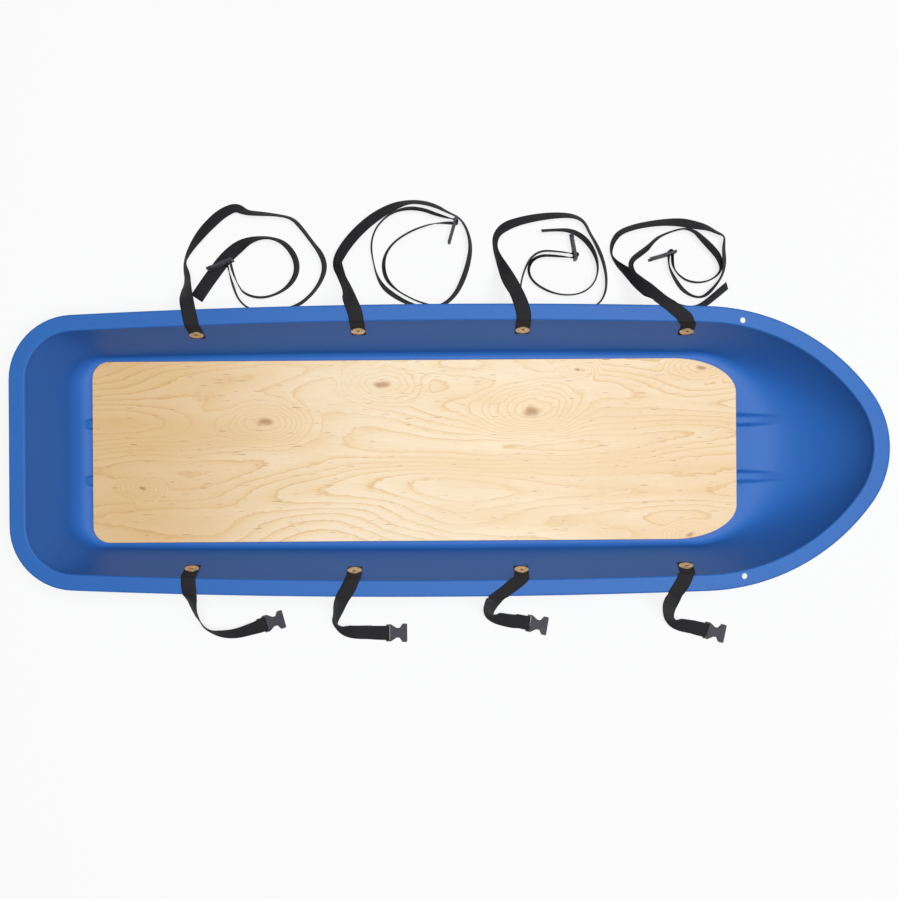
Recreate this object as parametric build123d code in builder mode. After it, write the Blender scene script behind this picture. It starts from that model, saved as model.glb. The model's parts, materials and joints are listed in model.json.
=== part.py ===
from build123d import *
import os
from math import acos, asin, atan2, cos, degrees, hypot, radians, sin, sqrt, tan

os.makedirs("parts", exist_ok=True)

# A pulk: an open moulded tub with a loose plywood deck in its floor, and four pairs of webbing straps.
# +X runs to the bow, +Y to port, +Z up. Z = 0 is the underside of the two runners.

# Hull: overall sizes
LENGTH = 1524.0
BEAM = 507.0
HEIGHT = 152.0
SHEET = 4.0

# Hull: plan of the rim's outer edge, as tangent arcs
SIDE_RADIUS = 14440.0
BOW_LENGTH = 315.0
BOW_SPLIT = 35.7
STERN_CORNER_RADIUS = 112.0

# Hull: rim, a flat flange with a turned-down lip
FLANGE_WIDTH = 28.0
LIP_DEPTH = 13.0
RIM_INNER_ROUND = 3.6
RIM_OUTER_ROUND = 2.6

# Hull: floor and walls
RUNNER_DEPTH = 8.0
SIDE_DRAFT = 18.7
SIDE_FLOOR_RADIUS = 12.0
STERN_DRAFT = 20.0
STERN_FLOOR_RADIUS = 40.0
BOW_SWEEP_RADIUS = 185.0
FLOOR_SIDE_RADIUS = 60000.0
FLOOR_STERN_CORNER = 36.0
FLOOR_EDGE = 2.5
SECTION_HEIGHTS = (8, 16, 27, 43, 63, 87, 113)

# Runners: two channels pressed down out of the floor, open above
RUNNER_SPACING = 104.0
RUNNER_BOTTOM_WIDTH = 13.0
RUNNER_FLANK_ANGLE = 34.5
RUNNER_REAR_SETBACK = 117.0
RUNNER_FRONT_SETBACK = 232.0
RUNNER_REAR_RADIUS = 34.0
RUNNER_FRONT_RADIUS = 170.0
RUNNER_REAR_RISE = 75.0
RUNNER_FRONT_RISE = 30.0
RUNNER_RAMP = 16.0

# Tow holes through the flange, one each side near the bow
TOW_HOLE_DIAMETER = 10.0
TOW_HOLE_SETBACK = 253.0
TOW_HOLE_INSET = 18.0

# Deck: a loose plywood board
DECK_THICKNESS = 6.0
DECK_SIDE_GAP = 3.5
DECK_REAR_GAP = 1.0
DECK_FRONT_GAP = 28.6
DECK_REAR_CORNER = 31.0
DECK_NOSE_LENGTH = 115.0
DECK_NOSE_DEPTH = 63.0
DECK_EDGE_ROUND = 0.8
DECK_CLEARANCE = 0.3

# Rivets: each pins a strap's end to the inside of a side wall, under a washer
RIVET_DROP = 36.0
RIVET_DIAMETER = 4.8
RIVET_HOLE_CLEARANCE = 0.2
RIVET_HEAD_DIAMETER = 9.6
RIVET_HEAD_HEIGHT = 1.8
RIVET_TAIL_HEIGHT = 2.2
CUTTER_LENGTH = 12.0
WASHER_DIAMETER = 25.0
WASHER_THICKNESS = 1.5
SEAT_CLEARANCE = 0.3

# Webbing
WEBBING_WIDTH = 25.4
WEBBING_THICKNESS = 1.6
WEBBING_END = 14.0
LOOP_CLEARANCE = 0.3
RUN_SHARE = 0.45

# Buckles: both halves of a side-release buckle for the webbing
BUCKLE_SLOT_WIDTH = 26.6
BUCKLE_SLOT = 3.2
BUCKLE_BAR = 3.8
BUCKLE_EDGE_ROUND = 0.6
BUCKLE_CORNER_ROUND = 1.5
FEMALE_LENGTH = 38.7
FEMALE_THICKNESS = 9.0
FEMALE_BAR_THICKNESS = 4.0
FEMALE_SHOULDER_WIDTH = 30.6
FEMALE_SHOULDER_LENGTH = 9.0
FEMALE_WAIST_WIDTH = 17.0
FEMALE_WAIST_START = 19.0
FEMALE_WAIST_END = 25.0
FEMALE_MOUTH_WIDTH = 33.0
FEMALE_MOUTH_START = 30.0
SOCKET_WIDTH = 27.0
SOCKET_HEIGHT = 5.4
SOCKET_DEPTH = 25.0
MALE_WIDTH = 31.4
MALE_THICKNESS = 5.0
MALE_BODY_LENGTH = 24.0
MALE_LENGTH = 50.0
MALE_ARM_WIDTH = 3.6
MALE_ARM_SPREAD = 26.0
MALE_CATCH = 2.6
MALE_CATCH_LENGTH = 9.0
MALE_TONGUE_WIDTH = 5.0
MALE_TONGUE_LENGTH = 20.0

# Straps: the x of each rivet, and the route from the middle of the flange, chosen by eye. Each span says
# how the webbing lies (draped in an upright plane, on edge, or flat) and its first and last point.
LONG_STRAPS = [
    (
        -443,
        [
            (-447, 232, 153), (-453, 262, 153), (-464, 290, 104), (-474, 315, 40), (-485, 343, 1.2),
            (-478, 366, 1), (-456, 398, 1), (-428, 426, 1), (-404, 443, 1), (-380, 442, 13),
            (-346, 437, 13), (-312, 434, 13), (-285, 428, 13), (-267, 407, 13), (-250, 384, 13),
            (-233, 362, 13), (-226, 338, 13), (-234, 312, 13), (-251, 288, 13), (-275, 268, 13),
            (-305, 259, 13), (-340, 256, 13), (-368, 262, 13), (-386, 279, 13), (-395, 302, 18),
            (-401, 325, 18), (-406, 348, 18), (-409, 354, 18), (-402, 356, 18), (-400, 350, 18),
            (-395, 328, 18), (-386, 306, 18), (-375, 289, 13), (-345, 281, 13), (-314, 289, 13),
            (-291, 305, 13), (-277, 330, 13), (-281, 358, 13), (-301, 384, 13), (-330, 394, 13),
            (-361, 390, 13), (-388, 377, 1), (-412, 356, 1), (-432, 330, 1), (-449, 307, 1),
            (-465, 283, 1),
        ],
        [
            ("draped", 0, 4), ("flat", 4, 8), ("edge", 8, 24), ("edge", 24, 31), ("edge", 31, 41),
            ("flat", 40, 45),
        ],
    ),
    (
        -159,
        [
            (-161, 238, 153), (-172, 266, 153), (-183, 293, 100), (-193, 318, 50), (-203, 343, 26),
            (-190, 370, 26), (-165, 400, 26), (-133, 427, 26), (-98, 446, 26), (-74, 455, 13),
            (-47, 456, 13), (-22, 449, 13), (0, 437, 13), (22, 427, 13), (36, 404, 13),
            (42, 374, 13), (37, 343, 13), (27, 313, 13), (13, 286, 13), (-8, 267, 13),
            (-38, 259, 13), (-70, 268, 13), (-98, 283, 13), (-120, 300, 13), (-132, 322, 13),
            (-138, 348, 13), (-142, 374, 13), (-138, 398, 13), (-125, 420, 13), (-102, 438, 13),
            (-74, 446, 13), (-46, 443, 13), (-20, 433, 13), (4, 425, 16), (14, 423, 16),
            (19, 421, 16), (17, 415, 16), (12, 416, 16), (2, 417, 16), (-27, 417, 13),
            (-54, 409, 13), (-78, 398, 13), (-101, 382, 13), (-116, 361, 13), (-120, 338, 13),
            (-114, 314, 13), (-96, 295, 13), (-72, 281, 13), (-50, 271, 13), (-30, 266, 13),
        ],
        [("draped", 0, 4), ("flat", 4, 8), ("edge", 8, 33), ("edge", 33, 39), ("edge", 39, 49)],
    ),
    (
        130,
        [
            (130, 238, 153), (121, 266, 153), (111, 293, 110), (101, 321, 60), (91, 349, 22),
            (86, 371, 13), (88, 394, 13), (104, 411, 13), (132, 421, 13), (168, 428, 13),
            (204, 431, 13), (233, 429, 13), (251, 418, 13), (260, 398, 13), (274, 374, 13),
            (285, 346, 13), (291, 316, 13), (289, 286, 13), (274, 263, 13), (240, 256, 13),
            (196, 257, 13), (155, 261, 13), (134, 276, 13), (132, 302, 13), (140, 331, 13),
            (152, 354, 13), (172, 366, 13), (200, 364, 13), (222, 361, 16), (232, 359, 16),
            (238, 360, 16), (239, 354, 16), (233, 352, 16), (222, 353, 16), (196, 356, 13),
            (171, 357, 13), (153, 348, 13), (146, 329, 13), (154, 310, 13), (174, 295, 13),
            (200, 285, 13), (230, 283, 13), (256, 292, 13), (272, 311, 13), (276, 338, 13),
            (267, 366, 13), (251, 388, 13), (228, 402, 13), (200, 404, 13), (172, 402, 13),
        ],
        [("draped", 0, 4), ("edge", 4, 28), ("edge", 28, 34), ("edge", 34, 49)],
    ),
    (
        418,
        [
            (404, 231, 153), (374, 272, 153), (356, 289, 112), (338, 302, 70), (314, 328, 22),
            (300, 350, 13), (297, 376, 13), (309, 397, 13), (331, 407, 13), (361, 414, 13),
            (395, 418, 13), (429, 417, 13), (458, 411, 13), (484, 400, 13), (504, 386, 13),
            (507, 366, 13), (507, 340, 13), (502, 318, 13), (490, 297, 13), (472, 281, 13),
            (455, 278, 13), (439, 285, 13), (422, 301, 13), (409, 322, 13), (406.5, 345, 16),
            (405.1, 357.3, 16), (403.5, 363.2, 16), (410.2, 365, 16), (411.8, 359.2, 16), (412.5, 345, 16),
            (417, 325, 13), (433, 310, 13), (457, 304, 13), (480, 309, 13), (496, 325, 13),
            (496, 346, 13), (482, 366, 13), (465, 385, 13), (446, 399, 13), (424, 403, 13),
            (398, 396, 13), (377, 382, 13), (357, 366, 13), (338, 350, 13), (331, 331, 13),
            (338, 310, 13), (356, 287, 13), (383, 267, 13), (416, 257, 13), (450, 260, 13),
            (478, 275, 13), (506, 298, 13),
        ],
        [("draped", 0, 4), ("edge", 4, 24), ("edge", 24, 30), ("edge", 30, 51)],
    ),
]

SHORT_STRAPS = [
    (
        -454,
        [
            (-451, -230, 153), (-452, -258, 153), (-454, -284, 96), (-456, -309, 40), (-458, -334, 5),
            (-430, -341, 5), (-394.3, -331.9, 5), (-346, -319, 5),
        ],
        [("draped", 0, 4), ("flat", 4, 7)],
    ),
    (
        -168,
        [
            (-171, -237, 153), (-182, -266, 153), (-193, -289, 94), (-202, -311, 38), (-211, -332, 5),
            (-190, -340, 5), (-160, -336, 5), (-120, -336, 5),
        ],
        [("draped", 0, 4), ("flat", 4, 7)],
    ),
    (
        125,
        [
            (117, -237, 153), (101, -271, 153), (91, -287, 86), (84, -299, 36), (75, -316, 5),
            (95.7, -311.4, 5), (139, -319, 5),
        ],
        [("draped", 0, 4), ("flat", 4, 6)],
    ),
    (
        414,
        [
            (407, -231, 153), (402, -260, 153), (401, -281, 92), (400, -301, 40), (399, -321, 5),
            (425.9, -325.5, 5), (466, -334, 5),
        ],
        [("draped", 0, 4), ("flat", 4, 6)],
    ),
]

# Buckles: where the end bar's outer edge lies, and the bearing from there to the other end
MALE_BUCKLES = [
    ((-395, 352.6, 18), 202),
    ((15.3, 428, 16), 254),
    ((233.8, 347, 16), 99),
    ((417, 360.7, 16), 196),
]
FEMALE_BUCKLES = [
    ((-345, -318.7, 5), 15),
    ((-119, -336, 5), 0),
    ((140, -319.2, 5), -10),
    ((467, -334.2, 5), -12),
]

half_beam = BEAM / 2
bow_start = LENGTH / 2 - BOW_LENGTH
runner_rear = RUNNER_REAR_SETBACK - LENGTH / 2
runner_front = LENGTH / 2 - RUNNER_FRONT_SETBACK
tow_hole_x = LENGTH / 2 - TOW_HOLE_SETBACK
floor_z = RUNNER_DEPTH + SHEET
wall_height = HEIGHT - floor_z


def wall_run(height, floor_radius, steepest, outward):
    """Distance out from where the flat floor ends, at a height above the floor."""
    reach = floor_radius + outward
    end_height = floor_radius - reach * cos(radians(steepest))
    if height <= end_height:
        return sqrt(max(reach ** 2 - (floor_radius - height) ** 2, 0))
    return reach * sin(radians(steepest)) + (height - end_height) / tan(radians(steepest))


def bow_radii(half_width, tip, side_radius):
    """Radii of the bow's two arcs, which meet where the outline faces BOW_SPLIT off the axis."""
    start = asin(bow_start / side_radius)
    split = radians(BOW_SPLIT)
    side_end_y = half_width - side_radius + side_radius * cos(start)
    ahead = tip - bow_start
    scale = (cos(split) - sin(start)) * sin(split) + (sin(split) - cos(start)) * (1 - cos(split))
    bow_radius = (ahead * sin(split) - side_end_y * (1 - cos(split))) / scale
    tip_radius = ((cos(split) - sin(start)) * side_end_y + (sin(split) - cos(start)) * ahead) / scale
    return bow_radius, tip_radius


def plan_points(half_width, stern, tip, corner, side_radius):
    """Half of a plan outline: stern, corner, side, bow and tip meet tangentially."""
    side_centre = half_width - side_radius
    corner_x = stern + corner
    corner_y = side_centre + sqrt((side_radius - corner) ** 2 - corner_x ** 2)
    lean = asin(corner_x / (side_radius - corner))
    start = asin(bow_start / side_radius)
    bow_radius, tip_radius = bow_radii(half_width, tip, side_radius)
    bow_x = bow_start - bow_radius * sin(start)
    bow_y = side_centre + (side_radius - bow_radius) * cos(start)
    end = radians(90 - BOW_SPLIT)
    middle = (start + end) / 2
    bend = corner * sqrt(0.5)
    return {
        "stern": (stern, corner_y),
        "corner": (corner_x - bend, corner_y + bend),
        "corner_end": (side_radius * sin(lean), side_centre + side_radius * cos(lean)),
        "side": (0, half_width),
        "side_end": (bow_start, side_centre + side_radius * cos(start)),
        "bow": (bow_x + bow_radius * sin(middle), bow_y + bow_radius * cos(middle)),
        "bow_end": (bow_x + bow_radius * sin(end), bow_y + bow_radius * cos(end)),
        "tip": (tip, 0),
    }


def plan_outline(*sizes):
    """A plan outline of lines and arcs, as a sketch."""
    port = plan_points(*sizes)
    starboard = {name: (x, -y) for name, (x, y) in port.items()}
    with BuildSketch() as outline:
        with BuildLine():
            Line(starboard["stern"], port["stern"])
            ThreePointArc(port["stern"], port["corner"], port["corner_end"])
            ThreePointArc(port["corner_end"], port["side"], port["side_end"])
            ThreePointArc(port["side_end"], port["bow"], port["bow_end"])
            ThreePointArc(port["bow_end"], port["tip"], starboard["bow_end"])
            ThreePointArc(starboard["bow_end"], starboard["bow"], starboard["side_end"])
            ThreePointArc(starboard["side_end"], starboard["side"], starboard["corner_end"])
            ThreePointArc(starboard["corner_end"], starboard["corner"], starboard["stern"])
        make_face()
    return outline.sketch


def rim_outline(inset):
    """The rim's plan, drawn inside its outer edge by an inset."""
    return plan_outline(
        half_beam - inset,
        inset - LENGTH / 2,
        LENGTH / 2 - inset,
        STERN_CORNER_RADIUS - inset,
        SIDE_RADIUS - inset,
    )


# The tub's inside meets the flange where its walls have run out from the flat floor
side_run = wall_run(wall_height, SIDE_FLOOR_RADIUS, 90 - SIDE_DRAFT, 0)
stern_run = wall_run(wall_height, STERN_FLOOR_RADIUS, 90 - STERN_DRAFT, 0)
bow_steepest = degrees(acos(1 - wall_height / BOW_SWEEP_RADIUS))
bow_run = wall_run(wall_height, BOW_SWEEP_RADIUS, bow_steepest, 0)
floor_half_width = half_beam - FLANGE_WIDTH - side_run
floor_stern = FLANGE_WIDTH - LENGTH / 2 + stern_run
floor_tip = LENGTH / 2 - FLANGE_WIDTH - bow_run
deck_half_width = floor_half_width - DECK_SIDE_GAP
deck_rear = floor_stern + DECK_REAR_GAP
deck_front = floor_tip - DECK_FRONT_GAP


def between(floor_value, rim_value, share):
    return floor_value + share * (rim_value - floor_value)


def tub_section(height, outward):
    """A level section of the tub, at a height above the floor's inside."""
    side_out = wall_run(height, SIDE_FLOOR_RADIUS, 90 - SIDE_DRAFT, outward)
    bow_out = wall_run(height, BOW_SWEEP_RADIUS, bow_steepest, outward)
    side_share = side_out / side_run
    bow_share = bow_out / bow_run
    return plan_outline(
        floor_half_width + side_out,
        floor_stern - wall_run(height, STERN_FLOOR_RADIUS, 90 - STERN_DRAFT, outward),
        floor_tip + bow_out,
        between(FLOOR_STERN_CORNER, STERN_CORNER_RADIUS - FLANGE_WIDTH, bow_share),
        1 / between(1 / FLOOR_SIDE_RADIUS, 1 / SIDE_RADIUS, side_share),
    )


def runner_path(lift):
    """The line along a runner's bottom, lifted by a thickness."""
    rear_radius = RUNNER_REAR_RADIUS - lift
    front_radius = RUNNER_FRONT_RADIUS - lift
    rear_tangent = rear_radius * tan(radians(RUNNER_REAR_RISE / 2))
    front_tangent = front_radius * tan(radians(RUNNER_FRONT_RISE / 2))
    rear_corner = runner_rear - rear_tangent
    front_corner = runner_front + front_tangent
    rear_end = (
        rear_corner - (rear_tangent + RUNNER_RAMP) * cos(radians(RUNNER_REAR_RISE)),
        lift + (rear_tangent + RUNNER_RAMP) * sin(radians(RUNNER_REAR_RISE)),
    )
    front_end = (
        front_corner + (front_tangent + RUNNER_RAMP) * cos(radians(RUNNER_FRONT_RISE)),
        lift + (front_tangent + RUNNER_RAMP) * sin(radians(RUNNER_FRONT_RISE)),
    )
    return FilletPolyline(
        rear_end,
        (rear_corner, lift),
        (front_corner, lift),
        front_end,
        radius=[rear_radius, front_radius],
    )


def runner_bar(side, lift, height):
    """A flared bar along a runner: its outside at no lift, its channel at the sheet's thickness."""
    flank = radians(RUNNER_FLANK_ANGLE)
    widen = (SHEET - lift) * (1 / cos(flank) - tan(flank))
    bottom = RUNNER_BOTTOM_WIDTH / 2 + widen
    top = bottom + height * tan(flank)
    with BuildPart() as bar:
        with BuildLine(Plane.XZ.offset(-side * RUNNER_SPACING / 2)) as path:
            runner_path(lift)
        with BuildSketch(Plane(origin=path.line @ 0, x_dir=(0, 1, 0), z_dir=path.line % 0)):
            with BuildLine():
                Polyline((-bottom, 0), (bottom, 0), (top, height), (-top, height), close=True)
            make_face()
        sweep()
    return bar.part


def side_wall_y(x, height):
    """Half-width of the tub's inside at x, at a height above the floor."""
    side_out = wall_run(height, SIDE_FLOOR_RADIUS, 90 - SIDE_DRAFT, 0)
    side_radius = 1 / between(1 / FLOOR_SIDE_RADIUS, 1 / SIDE_RADIUS, side_out / side_run)
    return floor_half_width + side_out - side_radius + sqrt(side_radius ** 2 - x ** 2)


def rim_edge_y(x):
    """Half-width of the rim's outer edge at x, along the side or the bow."""
    if x < bow_start:
        return half_beam - SIDE_RADIUS + sqrt(SIDE_RADIUS ** 2 - x ** 2)
    start = asin(bow_start / SIDE_RADIUS)
    bow_radius, tip_radius = bow_radii(half_beam, LENGTH / 2, SIDE_RADIUS)
    bow_x = bow_start - bow_radius * sin(start)
    bow_y = half_beam - SIDE_RADIUS + (SIDE_RADIUS - bow_radius) * cos(start)
    return bow_y + sqrt(bow_radius ** 2 - (x - bow_x) ** 2)


def rivet_plane(x, side):
    """The face of a side wall at a rivet: +Z points into the tub, +Y up the wall."""
    height = wall_height - RIVET_DROP
    lean = atan2(side_wall_y(x, wall_height) - side_wall_y(x, height), RIVET_DROP)
    turn = asin(x / SIDE_RADIUS)
    inward = (-sin(turn) * cos(lean), -side * cos(turn) * cos(lean), sin(lean))
    along = (side * cos(turn), -sin(turn), 0)
    return Plane(origin=(x, side * side_wall_y(x, height), floor_z + height), x_dir=along, z_dir=inward)


# Every strap with its side and number
fastened = [
    (side, number, strap)
    for side, straps in ((1, LONG_STRAPS), (-1, SHORT_STRAPS))
    for number, strap in enumerate(straps, 1)
]

def tub_form(heights, outward):
    """The tub as a solid, through its level sections."""
    with BuildPart() as form:
        for height in heights:
            with BuildSketch(Plane.XY.offset(floor_z + height)):
                add(tub_section(height, outward))
        loft(ruled=True)
    return form.part


# The rim: a flange with rounded edges and a turned-down lip
tub_top = wall_height - RIM_INNER_ROUND
with BuildPart() as rim:
    with BuildSketch(Plane.XY.offset(HEIGHT)):
        add(rim_outline(0))
        add(tub_section(tub_top, 0), mode=Mode.SUBTRACT)
    extrude(amount=-SHEET)
    rim_top = rim.faces().sort_by(Axis.Z)[-1]
    fillet(rim_top.inner_wires()[0].edges(), RIM_INNER_ROUND)
    rim_top = rim.faces().sort_by(Axis.Z)[-1]
    fillet(rim_top.outer_wire().edges(), RIM_OUTER_ROUND)
    with BuildSketch(Plane.XY.offset(HEIGHT - SHEET)):
        add(rim_outline(0))
        add(rim_outline(SHEET), mode=Mode.SUBTRACT)
    extrude(amount=-LIP_DEPTH)

# The tub with its runners, hollowed, then joined to the rim
with BuildPart() as hull:
    add(tub_form((-SHEET, FLOOR_EDGE - SHEET) + SECTION_HEIGHTS + (tub_top,), SHEET))
    for side in (-1, 1):
        add(runner_bar(side, 0, RUNNER_DEPTH + SHEET / 2))
    add(tub_form((0, FLOOR_EDGE) + SECTION_HEIGHTS + (tub_top, wall_height + SHEET), 0), mode=Mode.SUBTRACT)
    for side in (-1, 1):
        add(runner_bar(side, SHEET, RUNNER_DEPTH + SHEET), mode=Mode.SUBTRACT)
    add(rim.part)
    tow_hole_y = rim_edge_y(tow_hole_x) - TOW_HOLE_INSET
    with Locations((tow_hole_x, tow_hole_y, HEIGHT), (tow_hole_x, -tow_hole_y, HEIGHT)):
        Cylinder(TOW_HOLE_DIAMETER / 2, CUTTER_LENGTH, mode=Mode.SUBTRACT)
    with Locations(*(rivet_plane(x, side) for side, number, (x, route, spans) in fastened)):
        Cylinder(RIVET_DIAMETER / 2 + RIVET_HOLE_CLEARANCE, CUTTER_LENGTH, mode=Mode.SUBTRACT)


def drape_ribbon(points, radii, thickness):
    """Webbing that stays in one upright plane: its side view, pushed out to both edges."""
    start, end = points[0], points[-1]
    reach = hypot(end[0] - start[0], end[1] - start[1])
    ahead = ((end[0] - start[0]) / reach, (end[1] - start[1]) / reach)
    side_plane = Plane(
        origin=(start[0], start[1], 0),
        x_dir=(ahead[0], ahead[1], 0),
        z_dir=(ahead[1], -ahead[0], 0),
    )
    side_view = [
        ((x - start[0]) * ahead[0] + (y - start[1]) * ahead[1], z)
        for x, y, z in points
    ]
    with BuildPart() as ribbon:
        with BuildSketch(side_plane):
            with BuildLine():
                bent_line(side_view, radii)
            trace(line_width=thickness)
        extrude(amount=WEBBING_WIDTH / 2, both=True)
    return ribbon.part


def webbing_facts(route, spans):
    """The smallest arc radius and the length of a strap's spans, to set against its solid."""
    smallest, length = None, 0
    for lie, first, last in spans:
        points = route[first:last + 1]
        with BuildLine() as line:
            bent_line(points)
        length += sum(edge.length for edge in line.edges())
        for radius in arc_radii(points):
            smallest = radius if smallest is None else min(smallest, radius)
    return smallest, length


def bent_line(points, radii=None):
    """Straight runs joined by arcs as large as the runs allow."""
    if len(points) == 2:
        return Line(points[0], points[1])
    return FilletPolyline(*points, radius=radii or arc_radii(points))


def arc_radii(points):
    """One radius for each inner point, from its shorter run and its turn."""
    radii = []
    for before, point, after in zip(points, points[1:], points[2:]):
        run_in = Vector(*point) - Vector(*before)
        run_out = Vector(*after) - Vector(*point)
        half_turn = radians(run_in.get_angle(run_out)) / 2
        radii.append(RUN_SHARE * min(run_in.length, run_out.length) / tan(half_turn))
    return radii


def ground_ribbon(points, width, thickness):
    """Webbing that follows a plan at one height: flat, or on edge when it is thin and tall."""
    middle = points[len(points) // 2][2]
    with BuildPart() as ribbon:
        with BuildSketch(Plane.XY.offset(middle - thickness / 2)):
            with BuildLine():
                bent_line([(x, y) for x, y, z in points])
            trace(line_width=width)
        extrude(amount=thickness)
    return ribbon.part


def rim_ribbon(x, side):
    """The strap's seated end: up the wall from under the washer, and over onto the flange."""
    seat = SEAT_CLEARANCE + WEBBING_THICKNESS / 2
    wall = rivet_plane(x, side)
    lean = radians(90) - radians(wall.z_dir.get_angle(Vector(0, 0, 1)))
    inward = Vector(wall.z_dir.X, wall.z_dir.Y, 0).normalized()
    low = wall.origin + wall.z_dir * seat - wall.y_dir * WEBBING_END
    flange_z = HEIGHT + seat
    rise = (flange_z - low.Z) / wall.y_dir.Z
    corner = low + wall.y_dir * rise
    end = corner - inward * FLANGE_WIDTH / 2
    return drape_ribbon(
        [tuple(low), tuple(corner), tuple(end)],
        [RIM_INNER_ROUND + seat],
        WEBBING_THICKNESS,
    )


def strap_solid(x, side, number, route, spans):
    """One strap, from its riveted end along its route, and round its female buckle's bar."""
    with BuildPart() as strap:
        add(rim_ribbon(x, side))
        if side == -1:
            add(buckle_plane(*FEMALE_BUCKLES[number - 1]).location * loop_form.part)
        for lie, first, last in spans:
            points = route[first:last + 1]
            if lie == "draped":
                add(drape_ribbon(points, None, WEBBING_THICKNESS))
            elif lie == "edge":
                add(ground_ribbon(points, WEBBING_THICKNESS, WEBBING_WIDTH))
            else:
                add(ground_ribbon(points, WEBBING_WIDTH, WEBBING_THICKNESS))
        with Locations(rivet_plane(x, side)):
            Cylinder(RIVET_DIAMETER / 2 + RIVET_HOLE_CLEARANCE, WEBBING_WIDTH, mode=Mode.SUBTRACT)
    return strap.part


def buckle_plane(end, bearing):
    """A lying buckle's frame: X from its end bar to its far end."""
    return Plane(origin=end, x_dir=(cos(radians(bearing)), sin(radians(bearing)), 0))


def keep(solid, name):
    solid.label = name
    export_step(solid, f"parts/{name}.step")
    print(name, len(solid.solids()), round(solid.volume), solid.is_valid, solid.bounding_box())


# Rivets in their own frame: Z = 0 is the inner face of the wall
washer_seat = 2 * SEAT_CLEARANCE + WEBBING_THICKNESS
head_seat = washer_seat + WASHER_THICKNESS
with BuildPart() as washer_form:
    with BuildSketch(Plane.XY.offset(washer_seat)):
        Circle(WASHER_DIAMETER / 2)
        Circle(RIVET_DIAMETER / 2 + RIVET_HOLE_CLEARANCE, mode=Mode.SUBTRACT)
    extrude(amount=WASHER_THICKNESS)
    chamfer(washer_form.edges().group_by(Axis.Z)[-1].sort_by(SortBy.RADIUS)[-1], WASHER_THICKNESS / 4)

with BuildPart() as rivet_form:
    with BuildSketch(Plane.XZ):
        with BuildLine():
            Polyline(
                (0, -SHEET - SEAT_CLEARANCE - RIVET_TAIL_HEIGHT),
                (RIVET_HEAD_DIAMETER / 2, -SHEET - SEAT_CLEARANCE - RIVET_TAIL_HEIGHT),
                (RIVET_HEAD_DIAMETER / 2, -SHEET - SEAT_CLEARANCE),
                (RIVET_DIAMETER / 2, -SHEET - SEAT_CLEARANCE),
                (RIVET_DIAMETER / 2, head_seat),
                (RIVET_HEAD_DIAMETER / 2, head_seat),
            )
            RadiusArc(
                (RIVET_HEAD_DIAMETER / 2, head_seat),
                (0, head_seat + RIVET_HEAD_HEIGHT),
                -(RIVET_HEAD_DIAMETER ** 2 / 4 + RIVET_HEAD_HEIGHT ** 2) / (2 * RIVET_HEAD_HEIGHT),
            )
            Line((0, head_seat + RIVET_HEAD_HEIGHT), (0, -SHEET - SEAT_CLEARANCE - RIVET_TAIL_HEIGHT))
        make_face()
    revolve(axis=Axis.Z)

# Buckles in their own frame: X runs from the end bar to the far end, Z is their thickness
with BuildPart() as female_form:
    with BuildSketch():
        with BuildLine():
            Polyline(
                (0, -FEMALE_SHOULDER_WIDTH / 2),
                (FEMALE_SHOULDER_LENGTH, -FEMALE_SHOULDER_WIDTH / 2),
                (FEMALE_WAIST_START, -FEMALE_WAIST_WIDTH / 2),
                (FEMALE_WAIST_END, -FEMALE_WAIST_WIDTH / 2),
                (FEMALE_MOUTH_START, -FEMALE_MOUTH_WIDTH / 2),
                (FEMALE_LENGTH, -FEMALE_MOUTH_WIDTH / 2),
                (FEMALE_LENGTH, FEMALE_MOUTH_WIDTH / 2),
                (FEMALE_MOUTH_START, FEMALE_MOUTH_WIDTH / 2),
                (FEMALE_WAIST_END, FEMALE_WAIST_WIDTH / 2),
                (FEMALE_WAIST_START, FEMALE_WAIST_WIDTH / 2),
                (FEMALE_SHOULDER_LENGTH, FEMALE_SHOULDER_WIDTH / 2),
                (0, FEMALE_SHOULDER_WIDTH / 2),
                close=True,
            )
        make_face()
        fillet(vertices(), BUCKLE_CORNER_ROUND)
    extrude(amount=FEMALE_THICKNESS / 2, both=True)
    fillet(female_form.faces().filter_by(Axis.Z).edges(), BUCKLE_EDGE_ROUND)
    with Locations((BUCKLE_BAR + BUCKLE_SLOT / 2, 0)):
        Box(BUCKLE_SLOT, BUCKLE_SLOT_WIDTH, FEMALE_THICKNESS, mode=Mode.SUBTRACT)
    bar_cut = (FEMALE_THICKNESS - FEMALE_BAR_THICKNESS) / 2
    bar_cut_z = (FEMALE_THICKNESS + FEMALE_BAR_THICKNESS) / 4
    with Locations((BUCKLE_BAR / 2, 0, bar_cut_z), (BUCKLE_BAR / 2, 0, -bar_cut_z)):
        Box(BUCKLE_BAR, BUCKLE_SLOT_WIDTH, bar_cut, mode=Mode.SUBTRACT)
    with Locations((FEMALE_LENGTH - SOCKET_DEPTH / 2, 0)):
        Box(SOCKET_DEPTH, SOCKET_WIDTH, SOCKET_HEIGHT, mode=Mode.SUBTRACT)

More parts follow.
